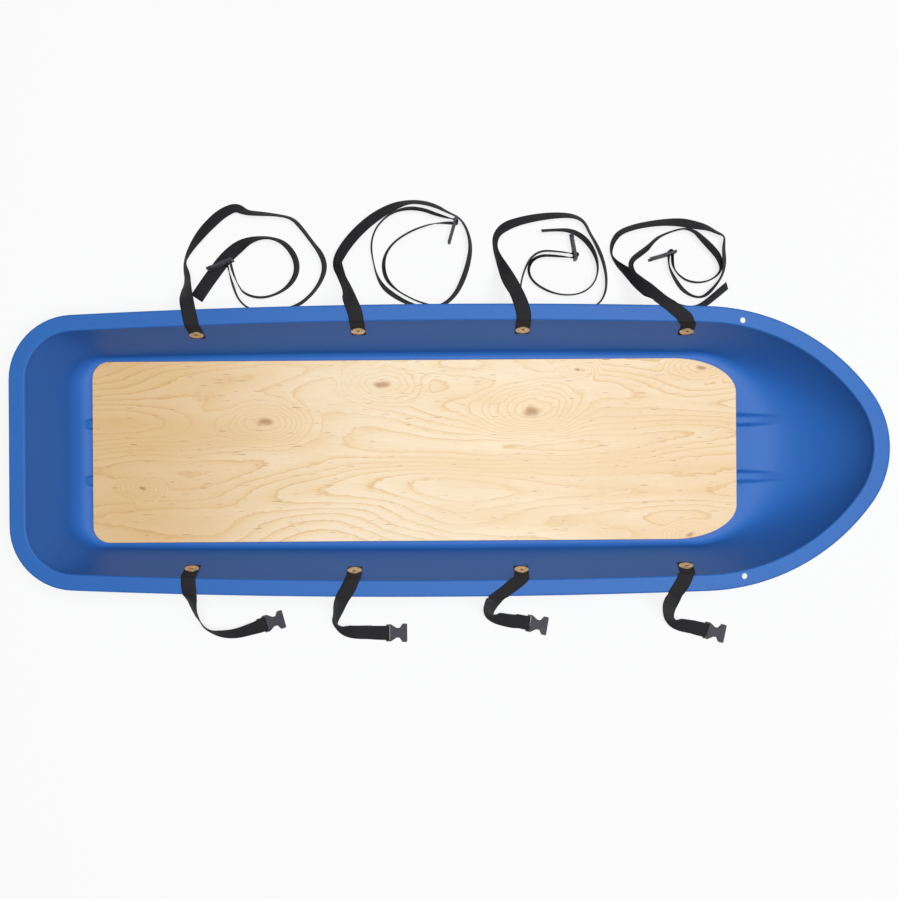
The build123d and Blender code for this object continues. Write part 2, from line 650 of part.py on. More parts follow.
arm_out = MALE_ARM_SPREAD / 2
with BuildPart() as male_form:
    with BuildSketch():
        with BuildLine() as port_half:
            Polyline(
                (0, 0),
                (0, MALE_WIDTH / 2),
                (MALE_BODY_LENGTH, MALE_WIDTH / 2),
                (MALE_BODY_LENGTH, arm_out),
                (MALE_LENGTH - MALE_CATCH_LENGTH, arm_out),
                (MALE_LENGTH - MALE_CATCH_LENGTH, arm_out + MALE_CATCH),
                (MALE_LENGTH, arm_out),
                (MALE_LENGTH, arm_out - MALE_ARM_WIDTH),
                (MALE_BODY_LENGTH, arm_out - MALE_ARM_WIDTH),
                (MALE_BODY_LENGTH, MALE_TONGUE_WIDTH / 2),
                (MALE_BODY_LENGTH + MALE_TONGUE_LENGTH, MALE_TONGUE_WIDTH / 2),
                (MALE_BODY_LENGTH + MALE_TONGUE_LENGTH, 0),
                close=True,
            )
        make_face()
        mirror(about=Plane.XZ)
    extrude(amount=MALE_THICKNESS / 2, both=True)
    for slot in (0, 1):
        with Locations((BUCKLE_BAR + BUCKLE_SLOT / 2 + slot * (BUCKLE_BAR + BUCKLE_SLOT), 0)):
            Box(BUCKLE_SLOT, BUCKLE_SLOT_WIDTH, MALE_THICKNESS, mode=Mode.SUBTRACT)

# The webbing's loop round a female buckle's bar
loop_length = BUCKLE_BAR + 2 * LOOP_CLEARANCE
loop_height = FEMALE_BAR_THICKNESS + 2 * LOOP_CLEARANCE
with BuildPart() as loop_form:
    with BuildSketch(Plane.XZ):
        with Locations((BUCKLE_BAR / 2, 0)):
            Rectangle(loop_length + 2 * WEBBING_THICKNESS, loop_height + 2 * WEBBING_THICKNESS)
            Rectangle(loop_length, loop_height, mode=Mode.SUBTRACT)
    extrude(amount=WEBBING_WIDTH / 2, both=True)
    loop_edges = loop_form.edges().filter_by(Axis.Y).sort_by(lambda edge: abs(edge.center().Z))
    fillet(loop_edges[4:], WEBBING_THICKNESS)

# The deck lies loose on the floor
with BuildPart() as deck:
    with BuildSketch(Plane.XY.offset(floor_z + DECK_CLEARANCE)):
        with BuildLine():
            nose_x = deck_front - DECK_NOSE_LENGTH
            nose_y = deck_half_width - DECK_NOSE_DEPTH
            EllipticalCenterArc((nose_x, -nose_y), DECK_NOSE_LENGTH, DECK_NOSE_DEPTH, start_angle=-90, arc_size=90)
            Line((deck_front, -nose_y), (deck_front, nose_y))
            EllipticalCenterArc((nose_x, nose_y), DECK_NOSE_LENGTH, DECK_NOSE_DEPTH, start_angle=0, arc_size=90)
            FilletPolyline(
                (nose_x, deck_half_width),
                (deck_rear, deck_half_width),
                (deck_rear, -deck_half_width),
                (nose_x, -deck_half_width),
                radius=DECK_REAR_CORNER,
            )
        make_face()
    extrude(amount=DECK_THICKNESS)
    fillet(deck.edges().group_by(Axis.Z)[-1], DECK_EDGE_ROUND)
keep(hull.part, "hull")
keep(deck.part, "deck")

side_names = {1: "port", -1: "starboard"}
strap_names = {1: "long_strap", -1: "short_strap"}
for side, number, (x, route, spans) in fastened:
    place = rivet_plane(x, side)
    keep(place.location * washer_form.part, f"washer_{side_names[side]}_{number}")
    keep(place.location * rivet_form.part, f"rivet_{side_names[side]}_{number}")
    strap = strap_solid(x, side, number, route, spans)
    smallest, length = webbing_facts(route, spans)
    print("smallest arc", round(smallest, 1), "section by length", round(length * WEBBING_WIDTH * WEBBING_THICKNESS))
    keep(strap, f"{strap_names[side]}_{number}")

for number, (end, bearing) in enumerate(MALE_BUCKLES, 1):
    ahead = Vector(cos(radians(bearing)), sin(radians(bearing)), 0)
    standing = Plane(origin=end, x_dir=ahead, z_dir=ahead.cross(Vector(0, 0, 1)))
    keep(standing.location * male_form.part, f"male_buckle_{number}")

for number, (end, bearing) in enumerate(FEMALE_BUCKLES, 1):
    keep(buckle_plane(end, bearing).location * female_form.part, f"female_buckle_{number}")
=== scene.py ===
"""A pulk: a moulded tub with a loose plywood deck, riveted webbing straps and side-release buckles."""

from math import acos, asin, cos, degrees, exp, log, pi, radians, sin, sqrt, tan

import bmesh
import bpy
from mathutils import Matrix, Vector
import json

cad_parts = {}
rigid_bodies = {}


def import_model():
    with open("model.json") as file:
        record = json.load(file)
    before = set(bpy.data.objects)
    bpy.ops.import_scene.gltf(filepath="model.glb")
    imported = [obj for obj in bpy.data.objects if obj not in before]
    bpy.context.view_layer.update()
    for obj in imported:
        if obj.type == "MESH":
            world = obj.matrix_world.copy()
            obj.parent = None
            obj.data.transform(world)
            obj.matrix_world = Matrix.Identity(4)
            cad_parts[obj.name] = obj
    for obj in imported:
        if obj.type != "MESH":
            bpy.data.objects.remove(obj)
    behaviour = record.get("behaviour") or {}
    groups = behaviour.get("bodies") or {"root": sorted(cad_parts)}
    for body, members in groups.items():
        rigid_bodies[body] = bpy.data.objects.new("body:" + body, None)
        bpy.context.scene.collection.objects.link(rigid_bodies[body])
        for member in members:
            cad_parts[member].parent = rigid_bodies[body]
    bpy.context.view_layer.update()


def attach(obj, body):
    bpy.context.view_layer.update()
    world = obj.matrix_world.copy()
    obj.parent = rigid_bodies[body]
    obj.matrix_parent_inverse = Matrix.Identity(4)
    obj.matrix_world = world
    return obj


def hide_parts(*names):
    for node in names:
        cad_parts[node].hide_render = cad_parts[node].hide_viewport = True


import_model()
scene = bpy.context.scene
MM = 0.001

# Camera: straight above, turned a little so that the pulk lies as it does in the photograph
camera = bpy.data.objects.new("camera", bpy.data.cameras.new("camera"))
camera.location = (0, 0.0012, 2.352)
camera.rotation_euler = (0, 0, radians(-0.39))
camera.data.lens = 50.98
scene.collection.objects.link(camera)
scene.camera = camera

# Webbing: each strap's route in mm, from its riveted end, and the webbing's tilt in degrees at each
# point: 0 is flat with its face up, 90 stands on edge, 180 is flat again
WEBBING_WIDTH = 25.4
WEBBING_THICKNESS = 1.6
WEBBING_EDGE_ROUND = 0.6
# Heights in metres: above the first a strap's sections lie along the rim, below the second across the strap
RIM_TOP = 0.151
RIM_LEAVES = 0.11
# How much longer than the webbing's width a section along the rim may be where the strap crosses at a slant
MOST_SLANT = 1.4
LONG_ROUTES = [
    [
        (-442.8, 201.12, 98.48, 180), (-443.19, 213.78, 139.7, 180), (-443.27, 216.39, 154.6, 180),
        (-447, 232, 153.1, 180), (-453, 262, 153.1, 175), (-464, 290, 104, 159.1),
        (-474, 315, 40, 135.6), (-485, 343, 14, 107.1), (-478, 366, 11.38, 120.6),
        (-457, 399, 7.68, 146.7), (-434, 424, 6.3, 154.2), (-413, 441, 7.03, 150.3),
        (-390, 450, 8.88, 139.6), (-372, 439, 11.53, 119.2), (-346, 437, 11.77, 116.6),
        (-312, 434, 12.44, 106.7), (-285, 428, 12.46, 106.3), (-267, 407, 12.52, 105.1),
        (-250, 384, 12.61, 102.8), (-233, 362, 12.26, 110), (-226, 338, 12.56, 104.2),
        (-234, 312, 12.77, 95.4), (-251, 288, 12.77, 91.6), (-275, 268, 12.77, 93),
        (-305, 259, 12.77, 94.4), (-340, 256, 12.77, 92.7), (-368, 262, 12.77, 93.1),
        (-386, 279, 12.72, 98.8), (-395, 302, 12.52, 105), (-401, 325, 18, 99.7), (-406, 348, 18, 90),
        (-409, 354, 18, 90), (-402, 356, 18, 90), (-400, 350, 18, 90), (-395, 328, 18, 90),
        (-386, 306, 18, 83), (-375, 289, 12.77, 84.6), (-345, 281, 12.76, 89.6),
        (-314, 289, 12.78, 93.4), (-291, 305, 12.77, 84.6), (-277, 330, 12.6, 76.8),
        (-281, 358, 12.15, 68.4), (-301, 384, 12.14, 68.2), (-330, 394, 12.54, 75.5),
        (-361, 390, 11.05, 56.2), (-388, 377, 3.96, 14.3), (-412, 356, 2.4, 8), (-432, 330, 1.8, 6),
        (-449, 307, 1.8, 6), (-465, 283, 1.8, 6),
    ],
    [
        (-158.92, 205.63, 98.7, 180), (-159.07, 219.39, 139.8, 180), (-159.11, 222.33, 154.6, 180),
        (-161, 238, 153.1, 180), (-172, 266, 153.1, 170), (-183, 293, 100, 123.5),
        (-193, 318, 62, 129.5), (-203, 343, 36, 141.2), (-190, 370, 32, 148.1), (-165, 400, 31, 147.8),
        (-133, 427, 31, 145.4), (-98, 446, 30, 134.1), (-74, 455, 22, 115.9), (-47, 456, 11.85, 115.5),
        (-22, 449, 12, 113.7), (0, 437, 12.52, 105), (22, 427, 12.62, 102.6), (36, 404, 12.63, 102.2),
        (42, 374, 12.56, 104.2), (37, 343, 12.44, 106.9), (27, 313, 12.34, 108.6), (13, 286, 12.64, 102),
        (-8, 267, 12.76, 96.1), (-38, 259, 12.77, 95.7), (-70, 268, 12.75, 97.5),
        (-98, 283, 12.59, 103.4), (-120, 300, 12.51, 105.4), (-132, 322, 12.77, 95.3),
        (-138, 348, 12.78, 93.5), (-142, 374, 12.73, 98.3), (-138, 398, 12.68, 100.6),
        (-125, 420, 12.59, 103.3), (-102, 438, 12.51, 105.4), (-74, 446, 11.93, 114.6),
        (-46, 443, 12.06, 112.9), (-20, 433, 12.16, 111.5), (4, 425, 16, 103.8), (14, 423, 16, 90),
        (19, 421, 16, 90), (17, 415, 16, 90), (12, 416, 16, 90), (2, 417, 16, 90), (-27, 417, 12.64, 78),
        (-54, 409, 12.56, 75.8), (-78, 398, 12.56, 75.8), (-101, 382, 12.57, 76),
        (-116, 361, 12.55, 75.7), (-120, 338, 12.45, 73.4), (-114, 314, 12.62, 77.4),
        (-96, 295, 12.76, 90.9), (-72, 281, 12.77, 92.5), (-50, 271, 12.77, 91.7), (-30, 266, 12.77, 92),
    ],
    [
        (129.94, 205.85, 98.7, 180), (130.06, 219.67, 139.8, 180), (130.09, 222.62, 154.6, 180),
        (130, 238, 153.1, 180), (121, 266, 153.1, 180), (111, 293, 110, 172), (101, 321, 60, 141.6),
        (91, 349, 30, 110.3), (86, 371, 16, 102.3), (88, 394, 11.45, 120), (104, 411, 8.71, 140.7),
        (132, 421, 9.81, 133.5), (168, 428, 10.27, 130.2), (204, 431, 11.14, 122.9),
        (233, 429, 11.8, 116.2), (251, 418, 12.24, 110.2), (260, 398, 12.41, 107.3),
        (274, 374, 12.07, 112.7), (285, 346, 12.2, 110.9), (291, 316, 12.5, 105.6),
        (289, 286, 12.66, 101.2), (274, 263, 12.77, 91.7), (240, 256, 12.77, 87.9),
        (196, 257, 12.77, 87.1), (155, 261, 12.77, 86), (134, 276, 12.77, 86.8), (132, 302, 12.76, 91.1),
        (140, 331, 12.77, 94.1), (152, 354, 12.73, 98.4), (172, 366, 12.53, 104.9),
        (200, 364, 12.6, 103.2), (222, 361, 12.66, 101.4), (232, 359, 13.5, 90), (238, 360, 13.5, 90),
        (239, 354, 13.5, 90), (233, 352, 13.5, 90), (222, 353, 12.67, 78.9), (196, 356, 12.44, 73.2),
        (171, 357, 12.43, 73), (153, 348, 12.56, 76), (146, 329, 12.77, 85.8), (154, 310, 12.77, 91.5),
        (174, 295, 12.76, 91.1), (200, 285, 12.77, 93.9), (230, 283, 12.78, 93.6),
        (256, 292, 12.76, 88.9), (272, 311, 12.77, 84.1), (276, 338, 12.58, 76.3),
        (267, 366, 11.77, 63.5), (251, 388, 11.1, 56.6), (228, 402, 11.61, 61.7),
        (200, 404, 12.43, 72.9), (172, 402, 12.34, 71.4),
    ],
    [
        (417.81, 201.69, 98.6, 180), (418.18, 214.48, 139.7, 180), (411.6, 218.4, 154.4, 180),
        (408.7, 224.7, 153.6, 180), (402.5, 232.4, 153.6, 180), (392.6, 241, 153.6, 180),
        (381.1, 249.5, 153.6, 180), (369, 259.5, 148, 178), (358.3, 271.3, 128, 170),
        (348.1, 283.8, 104, 145.9), (337.5, 298.1, 80, 133.3), (328, 313.1, 58, 121.9),
        (317.7, 326.2, 40, 106.4), (307.5, 338.8, 26, 93), (300.9, 351.5, 18, 82.4),
        (299.1, 364.9, 16, 92.9), (301.7, 380.1, 18, 105.2), (314.1, 396.9, 22, 115.9),
        (341.2, 405.8, 27, 119.4), (368.6, 410.5, 29, 121.4), (393.3, 413.1, 28, 126),
        (418.1, 413.6, 26, 133.7), (436.8, 412.1, 22, 140.2), (457.1, 409, 18, 134.8),
        (475.7, 405.7, 15, 123.3), (494, 396.8, 12.1, 112.4), (507.1, 390.9, 12.31, 109.1),
        (508.3, 381.9, 12.44, 106.8), (506.3, 368.8, 12.06, 112.8), (507.8, 345.9, 11.66, 117.8),
        (506, 326.2, 12.37, 108.1), (500, 311.5, 12.65, 101.7), (488.4, 296, 12.59, 103.3),
        (475.2, 282.9, 12.53, 104.8), (460.4, 277, 12.77, 87.8), (444, 281.5, 12.77, 87),
        (429.3, 292.3, 12.77, 92.3), (418, 308.7, 12.75, 90.2), (409.1, 325.2, 12.77, 84.7),
        (405, 338.3, 12.72, 81.2), (405.1, 357.3, 13.5, 90), (403.5, 363.2, 13.5, 90),
        (410.2, 365, 13.5, 90), (411.8, 359.2, 13.5, 90), (412, 341.6, 13.5, 90),
        (415.2, 330.1, 12.68, 100.5), (423, 319.4, 12.72, 98.7), (436, 309.4, 12.77, 95.5),
        (452.4, 304.9, 12.77, 92.7), (468.8, 305.4, 12.76, 91.3), (484.4, 310.7, 12.77, 88.6),
        (499.3, 323, 12.63, 77.6), (501.5, 339.4, 11.4, 59.6), (495.8, 354.2, 12.8, 48.4),
        (483.3, 369.1, 12.6, 46.5), (467.8, 385.6, 10.59, 52.4), (453.1, 399.6, 11.71, 62.8),
        (433.4, 404.6, 12.59, 76.7), (418.6, 401.4, 12.68, 79.3), (402.2, 396.1, 12.69, 79.6),
        (385.7, 388.5, 12.65, 78.3), (373.4, 377.1, 12.63, 77.9), (363.5, 366.6, 12.06, 67.1),
        (351.2, 357.7, 11.91, 65.1), (340.4, 349.5, 12.15, 68.4), (335.4, 340.5, 12.62, 77.3),
        (336.2, 330.7, 12.73, 81.5), (342.7, 317.6, 12.63, 77.7), (355.8, 302.7, 12.56, 75.7),
        (375.3, 287, 12.54, 75.4), (396.5, 272.9, 12.6, 76.9), (422.7, 260.4, 12.68, 79.3),
        (450.5, 256.1, 12.53, 75.1), (472, 265.8, 11.76, 63.3), (491.9, 282.1, 11.42, 59.7),
        (512.5, 299.2, 11.41, 59.6),
    ],
]
SHORT_ROUTES = [
    [
        (-453.8, -200.86, 98.48, 0), (-454.19, -213.45, 139.7, 0), (-452.7, -215.4, 154.2, 0),
        (-452.8, -225.9, 153.6, 0), (-451.9, -236.6, 153.8, 0), (-451, -245.2, 153.4, 6),
        (-450.4, -253, 148, 20), (-453, -266, 124, 34.8), (-455.3, -280.4, 96, 47.7),
        (-455.2, -298.6, 64, 58.4), (-451.4, -312.8, 42, 67.3), (-446.7, -323.1, 26, 70.9),
        (-435.8, -330.5, 17, 64.6), (-421.3, -334.9, 13.5, 52.8), (-403.3, -335.5, 12, 42.8),
        (-386.7, -332.8, 10.5, 36.5), (-370.1, -327.7, 9.5, 29.3), (-356.4, -323.6, 8.8, 19.7),
        (-350, -321, 8, 4), (-343.5, -318.5, 8, 0), (-340, -317.4, 6.5, 0), (-339.3, -317.2, 5, 0),
        (-340, -317.4, 3, 0), (-343.5, -318.5, 2, 0), (-349, -320, 2, 0), (-355, -322, 1.8, 0),
    ],
    [
        (-167.92, -205.55, 98.7, 0), (-168.08, -219.29, 139.8, 0), (-168.4, -218.3, 154.3, 0),
        (-171.5, -226.6, 153.6, 0), (-176, -236.5, 153.6, 0), (-181.3, -245.8, 153.6, 0),
        (-185.7, -253.6, 153.2, 2), (-191.5, -263.6, 138, 14), (-198.3, -276.7, 108, 28.6),
        (-204.1, -289.3, 80, 44), (-208.1, -301.1, 55, 60.7), (-209.5, -312.6, 34, 68),
        (-205.5, -320.9, 20, 55.5), (-196.2, -328.8, 14, 35.5), (-184.2, -332.7, 10.5, 17.6),
        (-170.3, -334.5, 7, 10), (-149.3, -334.6, 6, 0), (-140, -335.6, 6, 0), (-124, -336, 8, 0),
        (-117.5, -336, 8, 0), (-114, -336, 6.5, 0), (-113.3, -336, 5, 0), (-114, -336, 3, 0),
        (-117.5, -336, 2, 0), (-126, -336, 2, 0), (-139, -336, 1.5, 0),
    ],
    [
        (124.94, -205.88, 98.7, 0), (125.06, -219.71, 139.8, 0), (121.2, -221.4, 154.3, 0),
        (116.6, -226.8, 153.6, 0), (109, -234, 153.6, 0), (98.8, -241.7, 153.7, 0), (88.5, -248.8, 153.7, 0),
        (81, -255, 153.7, 0), (76.5, -261.5, 145, 6), (71.9, -268.5, 118, 28.8),
        (68.7, -280.4, 86, 48.7), (68.9, -292.2, 52, 53.9), (74.2, -302.5, 26, 40.2),
        (85.4, -309, 14, 22.4), (101.1, -313.5, 8.5, 14), (116.6, -316.4, 6.5, 4), (125, -316, 6.5, 0),
        (135, -318.2, 8, 0), (141.4, -319.5, 8, 0), (144.9, -320.1, 6.5, 0), (145.6, -320.2, 5, 0),
        (144.9, -320.1, 3, 0), (141.4, -319.5, 2, 0), (133, -318, 2, 0), (120, -315.6, 1.5, 0),
    ],
    [
        (413.81, -201.78, 98.6, 0), (414.18, -214.59, 139.7, 0), (407.6, -215.9, 154.3, 0),
        (405.9, -221.9, 153.6, 0), (402.4, -229.3, 153.6, 0), (397.4, -238.2, 153.6, 0),
        (391.8, -246.6, 153.6, 0), (388, -253.9, 150, 6), (386.6, -264, 132, 31),
        (386.5, -275.7, 106, 44.1), (388.9, -287.3, 78, 57.6), (393.6, -299.2, 50, 65.5),
        (401.1, -311.2, 26, 58.6), (410.9, -319.6, 15, 36.4), (423.4, -324.4, 10, 17.7),
        (438.6, -327.5, 7.5, 10), (450.4, -329.7, 6.5, 3), (452, -331, 6.5, 0), (462, -333.2, 8, 0),
        (468.4, -334.5, 8, 0), (471.9, -335.2, 6.5, 0), (472.6, -335.4, 5, 0), (471.9, -335.2, 3, 0),
        (468.4, -334.5, 2, 0), (460, -332.7, 2, 0), (447, -330, 1.5, 0),
    ],
]

# For each strap from the stern forward, its rivet in mm and its length in metres
LONG_RIVETS = [(-443, 208, 116), (-159, 212.7, 116), (130, 212.9, 116), (418, 208.3, 116)]
SHORT_RIVETS = [(-454, -207.4, 116), (-168, -212.5, 116), (125, -212.9, 116), (414, -208.4, 116)]
LONG_LENGTHS = [1.38, 1.4, 1.38, 1.38]
SHORT_LENGTHS = [0.37, 0.37, 0.35, 0.35]


def spline_points(name, points):
    """Points along a smooth spline that has these control points."""
    curve = bpy.data.curves.new(name, "CURVE")
    curve.dimensions = "3D"
    spline = curve.splines.new("NURBS")
    spline.points.add(len(points) - 1)
    for point, place in zip(spline.points, points):
        point.co = (*place, 1)
    spline.order_u = 3
    spline.use_endpoint_u = True
    spline.resolution_u = 8
    holder = bpy.data.objects.new(name, curve)
    line = bpy.data.meshes.new_from_object(holder)
    found = [vertex.co.copy() for vertex in line.vertices]
    bpy.data.objects.remove(holder)
    return found


def webbing_section():
    """The webbing's cross-section: flat, with its corners rounded off."""
    half, thick = WEBBING_WIDTH / 2 * MM, WEBBING_THICKNESS / 2 * MM
    flat, edge = half - WEBBING_EDGE_ROUND * MM, WEBBING_EDGE_ROUND / 2 * MM
    across = [-1, -0.5, 0, 0.5, 1]
    top = [(share * flat, thick) for share in across]
    bottom = [(share * flat, -thick) for share in reversed(across)]
    return [(-half, edge)] + top + [(half, edge), (half, -edge)] + bottom + [(-half, -edge)]


def make_webbing(name, route):
    """A ribbon of webbing along a route, and the points that it follows."""
    path = spline_points(name, [Vector(row[:3]) * MM for row in route])
    top = max(range(len(path)), key=lambda index: path[index].z)
    turns = [point.x for point in spline_points(name, [(row[3], 0, 0) for row in route])]
    section = webbing_section()
    ribbon = bmesh.new()
    uv_layer = ribbon.loops.layers.uv.new("along")
    rings, runs, travelled, side = [], [], 0, None
    for index, place in enumerate(path):
        before, after = path[max(index - 1, 0)], path[min(index + 1, len(path) - 1)]
        ahead = (after - before).normalized()
        level = Vector((-ahead.y, ahead.x, 0)).normalized()
        if side is not None and level.dot(side) < 0:
            level.negate()
        side = level
        up = ahead.cross(level)
        if up.z < 0 and abs(ahead.z) < 0.7:
            up.negate()
        lean = radians(turns[index])
        # Over the rim the webbing bends about the rim's edge, so its sections lie along that edge
        on_rim = 1 if index < top else min(max((place.z - RIM_LEAVES) / (RIM_TOP - RIM_LEAVES), 0), 1)
        slant = min(1 / sqrt(1 - ahead.x ** 2), MOST_SLANT) if abs(ahead.x) < 1 else MOST_SLANT
        along_rim = Vector((slant if level.x > 0 else -slant, 0, 0))
        level = level.lerp(along_rim, on_rim)
        width = level * cos(lean) + up * sin(lean)
        face = width.cross(ahead).normalized()
        travelled += (place - path[max(index - 1, 0)]).length
        runs.append(travelled)
        rings.append([ribbon.verts.new(place + width * across + face * thick) for across, thick in section])
    around = len(section)
    for index in range(len(path) - 1):
        for spot in range(around):
            other = (spot + 1) % around
            strip = ribbon.faces.new((
                rings[index][spot], rings[index + 1][spot], rings[index + 1][other], rings[index][other],
            ))
            strip.smooth = True
            ends = (
                (runs[index], section[spot][0]),
                (runs[index + 1], section[spot][0]),
                (runs[index + 1], section[other][0]),
                (runs[index], section[other][0]),
            )
            for loop, place in zip(strip.loops, ends):
                loop[uv_layer].uv = place
    ribbon.faces.new(rings[0])
    ribbon.faces.new(reversed(rings[-1]))
    bmesh.ops.recalc_face_normals(ribbon, faces=ribbon.faces)
    mesh = bpy.data.meshes.new(name)
    ribbon.to_mesh(mesh)
    ribbon.free()
    piece = bpy.data.objects.new(name, mesh)
    scene.collection.objects.link(piece)
    return piece, [tuple(point) for point in path]


straps = []
for word, routes, rivets, lengths, buckle, far_end in (
    ("long", LONG_ROUTES, LONG_RIVETS, LONG_LENGTHS, "male", "bare"),
    ("short", SHORT_ROUTES, SHORT_RIVETS, SHORT_LENGTHS, "female", "fitting"),
):
    for number, (route, rivet, length) in enumerate(zip(routes, rivets, lengths), 1):
        strap, path = make_webbing(f"{word}_webbing_{number}", route)
        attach(strap, "tub")
        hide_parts(f"{word}_strap_{number}")
        straps.append(strap)

# Tub: sizes in mm and degrees, the same as the frame's solid has
LENGTH = 1524
BEAM = 507
HEIGHT = 152
SHEET = 4
SIDE_RADIUS = 14440
BOW_START = 447
BOW_SPLIT = 35.7
STERN_CORNER_RADIUS = 112
FLANGE_WIDTH = 28
LIP_DEPTH = 13
RIM_INNER_ROUND = 3.6
RIM_OUTER_ROUND = 2.6
RUNNER_DEPTH = 8
SIDE_STEEPEST = 71.3
SIDE_FLOOR_RADIUS = 12
STERN_STEEPEST = 70
STERN_FLOOR_RADIUS = 40
BOW_SWEEP_RADIUS = 185
FLOOR_SIDE_RADIUS = 60000
FLOOR_STERN_CORNER = 36
RUNNER_MIDDLE = 52
RUNNER_HALF_WIDTH = 6.5
RUNNER_FLANK = 34.5
RUNNER_REAR = -645
RUNNER_FRONT = 530
RUNNER_REAR_RADIUS = 34
RUNNER_FRONT_RADIUS = 170
RUNNER_REAR_RISE = 75
RUNNER_FRONT_RISE = 30
RUNNER_RAMP = 16
TOW_HOLE = (509, 221.3)
TOW_HOLE_DIAMETER = 10
TOW_HOLE_REACH = 12
RUNNER_SOFTNESS = 0.6
LIP_ROUND = 1
# Heights above the floor at which the mesh has a ring, on the sheet's inner and outer face
INNER_LEVELS = (
    0, 0.15, 0.6, 1.3, 2.3, 3.6, 5.2, 7, 9.5, 12.5, 16, 20, 25, 31, 38, 46, 55, 65, 76, 88, 101, 114, 126,
    136.4,
)
OUTER_LEVELS = (
    -4, -3.85, -3.4, -2.6, -1.4, 0.2, 2, 4.5, 7.5, 11, 15, 20, 26, 33, 42, 52, 63, 75, 88, 101, 114, 126, 136,
)
# Rings of the mesh round the rim: degrees through its two rounds, and shares of the way across its flange
INNER_ROUND_TURNS = (18, 36, 54, 72, 90)
OUTER_ROUND_TURNS = (0, 22, 45, 68, 90)
FLANGE_SHARES = (0.08, 0.3, 0.6, 0.92)
# Rows of the mesh across the tub, close together where a runner's flanks are
RUNNER_ROWS = (
    0, 12, 24, 34, 38, 39.5, 41, 42.5, 44, 45.5, 47, 49.5, 52, 54.5, 57, 58.5, 60, 61.5, 63, 64.5, 66, 70, 76,
)
OUTER_ROWS = 12
# Half width below which the rows are squeezed together
ROWS_NEED = 108
# Steps of the mesh along the stern corner, the side, the bow's flank and its tip
ARC_STEPS = (14, 96, 30, 60)
SHARP_ANGLE = 50

floor_z = RUNNER_DEPTH + SHEET
wall_height = HEIGHT - floor_z


def wall_run(height, floor_radius, steepest, outward):
    """How far out a wall stands from the flat floor's end, at a height above the floor."""
    reach = floor_radius + outward
    turned = floor_radius - reach * cos(radians(steepest))
    if height <= turned:
        return sqrt(max(reach ** 2 - (floor_radius - height) ** 2, 0))
    return reach * sin(radians(steepest)) + (height - turned) / tan(radians(steepest))


bow_steepest = degrees(acos(1 - wall_height / BOW_SWEEP_RADIUS))
side_run = wall_run(wall_height, SIDE_FLOOR_RADIUS, SIDE_STEEPEST, 0)
bow_run = wall_run(wall_height, BOW_SWEEP_RADIUS, bow_steepest, 0)
stern_run = wall_run(wall_height, STERN_FLOOR_RADIUS, STERN_STEEPEST, 0)


def rim_plan(inset):
    """Half width, stern, tip, corner and side radius of the rim's outline."""
    return (
        BEAM / 2 - inset, inset - LENGTH / 2, LENGTH / 2 - inset,
        STERN_CORNER_RADIUS - inset, SIDE_RADIUS - inset,
    )


def tub_plan(height, outward, grown=0):
    """The same five sizes of a level section of the tub."""
    side_out = wall_run(height, SIDE_FLOOR_RADIUS, SIDE_STEEPEST, outward)
    bow_out = wall_run(height, BOW_SWEEP_RADIUS, bow_steepest, outward)
    stern_out = wall_run(height, STERN_FLOOR_RADIUS, STERN_STEEPEST, outward)
    inner_corner = STERN_CORNER_RADIUS - FLANGE_WIDTH
    bend = 1 / FLOOR_SIDE_RADIUS + side_out / side_run * (1 / SIDE_RADIUS - 1 / FLOOR_SIDE_RADIUS)
    return (
        BEAM / 2 - FLANGE_WIDTH - side_run + side_out + grown,
        FLANGE_WIDTH - LENGTH / 2 + stern_run - stern_out - grown,
        LENGTH / 2 - FLANGE_WIDTH - bow_run + bow_out + grown,
        FLOOR_STERN_CORNER + bow_out / bow_run * (inner_corner - FLOOR_STERN_CORNER) + grown,
        1 / bend + grown,
    )


def rows_across(half_width):
    """Distances from the middle line at which the mesh has rows, for one half width."""
    squeeze = min(1, half_width / ROWS_NEED)
    rows = [row * squeeze for row in RUNNER_ROWS]
    rest = half_width - rows[-1]
    return rows + [rows[-1] + rest * step / OUTER_ROWS for step in range(1, OUTER_ROWS + 1)]


def plan_half(half_width, stern, tip, corner, side_radius):
    """Points of an outline's port half, from the stern's middle round to the tip."""
    side_centre = half_width - side_radius
    corner_x = stern + corner
    corner_y = side_centre + sqrt((side_radius - corner) ** 2 - corner_x ** 2)
    lean = asin(corner_x / (side_radius - corner))
    start = asin(BOW_START / side_radius)
    split = radians(BOW_SPLIT)
    side_end_y = side_centre + side_radius * cos(start)
    ahead = tip - BOW_START
    scale = (cos(split) - sin(start)) * sin(split) + (sin(split) - cos(start)) * (1 - cos(split))
    bow_radius = (ahead * sin(split) - side_end_y * (1 - cos(split))) / scale
    tip_radius = ((cos(split) - sin(start)) * side_end_y + (sin(split) - cos(start)) * ahead) / scale
    arcs = (
        ((corner_x, corner_y), corner, -pi / 2, lean),
        ((0, side_centre), side_radius, lean, start),
        (
            (BOW_START - bow_radius * sin(start), side_centre + (side_radius - bow_radius) * cos(start)),
            bow_radius, start, pi / 2 - split,
        ),
        ((tip - tip_radius, 0), tip_radius, pi / 2 - split, pi / 2),
    )
    points = [(stern, row) for row in rows_across(corner_y)]
    for ((centre_x, centre_y), radius, first, last), steps in zip(arcs, ARC_STEPS):
        for step in range(1, steps + 1):
            angle = first + (last - first) * step / steps
            points.append((centre_x + radius * sin(angle), centre_y + radius * cos(angle)))
    points[-1] = (tip, 0)
    return points


